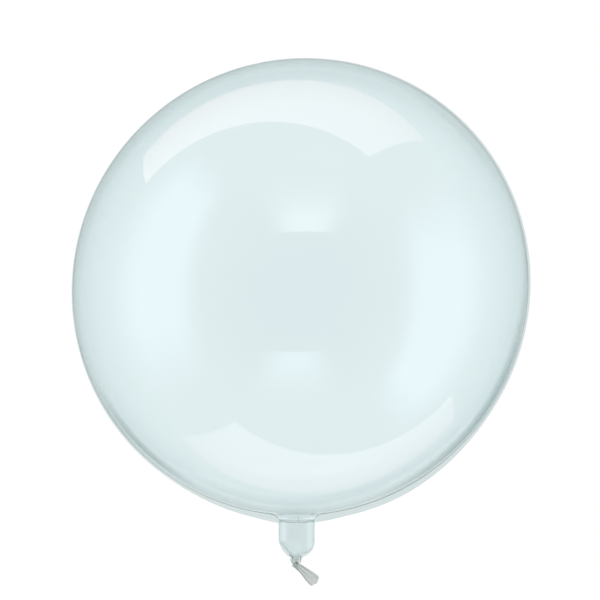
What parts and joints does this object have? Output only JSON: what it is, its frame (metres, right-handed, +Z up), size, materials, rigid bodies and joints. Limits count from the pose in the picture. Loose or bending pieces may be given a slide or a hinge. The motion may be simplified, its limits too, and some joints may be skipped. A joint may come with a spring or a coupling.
{
  "type": "clear bubble balloon",
  "caption": "Round clear film balloon, filled and knotted at its neck, lying on its back panel with the neck to the side.",
  "frame": {"origin": "middle of the small flat on the back panel, on which the balloon lies", "axes": "+Z up, square to the plane of the weld; the neck points along -Y; X runs along the weld's plane"},
  "size_m": [0.4528, 0.5204, 0.448],
  "materials": {
    "clear_film": "clear glossy film, faintly blue-green, smooth and tight"
  },
  "bodies": {
    "root": {"balloon": "clear_film"}
  },
  "joints": []
}
